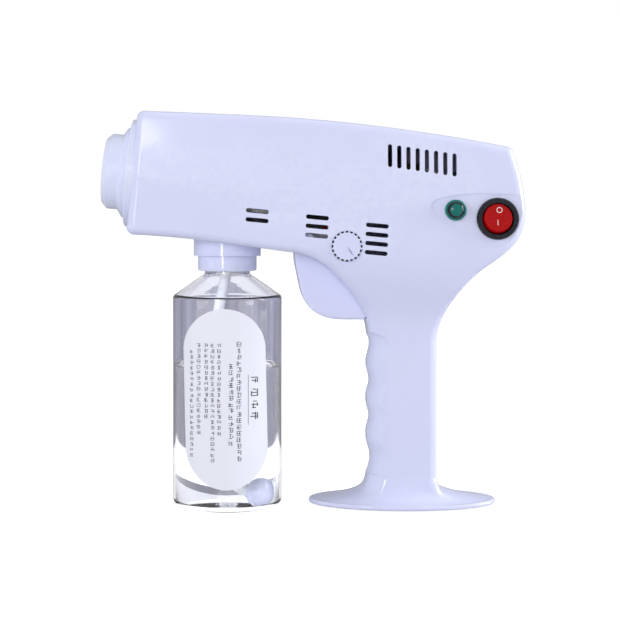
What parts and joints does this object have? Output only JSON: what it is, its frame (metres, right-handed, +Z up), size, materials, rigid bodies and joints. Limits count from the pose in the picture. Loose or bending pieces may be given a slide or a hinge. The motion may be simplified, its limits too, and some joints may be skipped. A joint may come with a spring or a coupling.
{
  "type": "electrostatic disinfectant sprayer",
  "caption": "Hand-held disinfectant mist gun: barrel body with stepped nose, hanging clear bottle, paddle trigger, rocker switch, flow dial, finger-grooved grip and wide standing foot.",
  "frame": {"origin": "centre of the foot on the floor plane it stands on", "axes": "+Z up, the nose points to -X, the side with the dial, lamp and rocker switch faces -Y"},
  "size_m": [0.2364, 0.0674, 0.2221],
  "materials": {
    "shell_plastic": "glossy injection-moulded white",
    "nose_plastic": "glossy injection-moulded white",
    "cap_plastic": "glossy white",
    "bottle_plastic": "clear thin-wall bottle plastic",
    "label_paper": "white coated label paper, satin",
    "tube_silicone": "translucent milky silicone",
    "ball_plastic": "glossy white",
    "trigger_plastic": "glossy white",
    "dial_plastic": "satin white",
    "black_plastic": "glossy black",
    "red_plastic": "glossy red",
    "green_lens": "glossy green lens",
    "lens_plastic": "clear lens plastic",
    "led_plastic": "diffused lamp domes",
    "board_green": "solder mask",
    "steel_zinc": "zinc-plated",
    "aluminium_cast": "die-cast, matt",
    "brass_turned": "turned",
    "element_steel": "heat-tinted sheath",
    "coil_black": "moulded coil cover",
    "hose_silicone": "silicone",
    "gasket_rubber": "black rubber",
    "pad_rubber": "grey-black rubber",
    "wire_red": "PVC insulation",
    "dark_plastic": "moulded"
  },
  "bodies": {
    "gun": {"board_parts": "dark_plastic", "bottle_cap": "cap_plastic", "bottle_socket": "cap_plastic", "cap_gasket": "gasket_rubber", "control_board": "board_green", "foot_pads": "pad_rubber", "foot_plate": "shell_plastic", "foot_screws": "steel_zinc", "heat_shield": "steel_zinc", "heater_block": "aluminium_cast", "heating_element": "element_steel", "inlet_hose": "hose_silicone", "lamp_body": "black_plastic", "lamp_lens": "green_lens", "led_board": "board_green", "led_lamps": "led_plastic", "led_lens": "lens_plastic", "left_shell": "shell_plastic", "microswitch": "dark_plastic", "nose_cover": "nose_plastic", "nozzle_stem": "brass_turned", "outlet_hose": "hose_silicone", "potentiometer": "steel_zinc", "power_inlet": "black_plastic", "pump_coil": "coil_black", "pump_frame": "steel_zinc", "pump_spring": "steel_zinc", "pump_tube": "brass_turned", "right_shell": "shell_plastic", "rocker_housing": "black_plastic", "shell_screws": "steel_zinc", "terminal_block": "dark_plastic", "thermal_fuse": "steel_zinc", "thermostat": "dark_plastic", "trigger_pin": "steel_zinc", "trigger_spring": "steel_zinc", "wiring": "wire_red"},
    "bottle": {"bottle": "bottle_plastic", "bottle_label": "label_paper", "suction_tube": "tube_silicone", "filter_ball_top": "ball_plastic", "filter_ball_base": "ball_plastic"},
    "trigger": {"trigger": "trigger_plastic"},
    "plunger": {"switch_plunger": "red_plastic"},
    "dial": {"dial": "dial_plastic"},
    "rocker": {"rocker_button": "red_plastic"},
    "piston": {"pump_piston": "steel_zinc"},
    "nozzle": {"nozzle_tip": "brass_turned"}
  },
  "joints": [
    {"name": "trigger_pull", "type": "hinge", "parent": "gun", "child": "trigger", "pos_m": [-0.0555, 0, 0.1505], "axis": [0, -1, 0], "range_deg": [0, 12], "deforming": ["trigger_spring"]},
    {"name": "plunger_press", "type": "slide", "parent": "gun", "child": "plunger", "axis": [0, 0, 1], "range_m": [0, 0.0025]},
    {"name": "dial_turn", "type": "hinge", "parent": "gun", "child": "dial", "pos_m": [-0.0338, -0.029, 0.1473], "axis": [0, -1, 0], "range_deg": [0, 270]},
    {"name": "rocker_rock", "type": "hinge", "parent": "gun", "child": "rocker", "pos_m": [0.0487, -0.0304, 0.1624], "axis": [1, 0, 0], "range_deg": [0, 20]},
    {"name": "bottle_removal", "type": "slide", "parent": "gun", "child": "bottle", "axis": [0, 0, -1], "range_m": [0, 0.03]},
    {"name": "pump_stroke", "type": "slide", "parent": "gun", "child": "piston", "axis": [-1, 0, 0], "range_m": [0, 0.0015]},
    {"name": "nozzle_unscrew", "type": "hinge", "parent": "gun", "child": "nozzle", "pos_m": [-0.15877, 0, 0.189], "axis": [-0.9957, 0, 0.0924], "continuous": true}
  ],
  "couplings": [
    {"joint": "plunger_press", "follows": "trigger_pull", "m_per_rad": 0.0115}
  ]
}
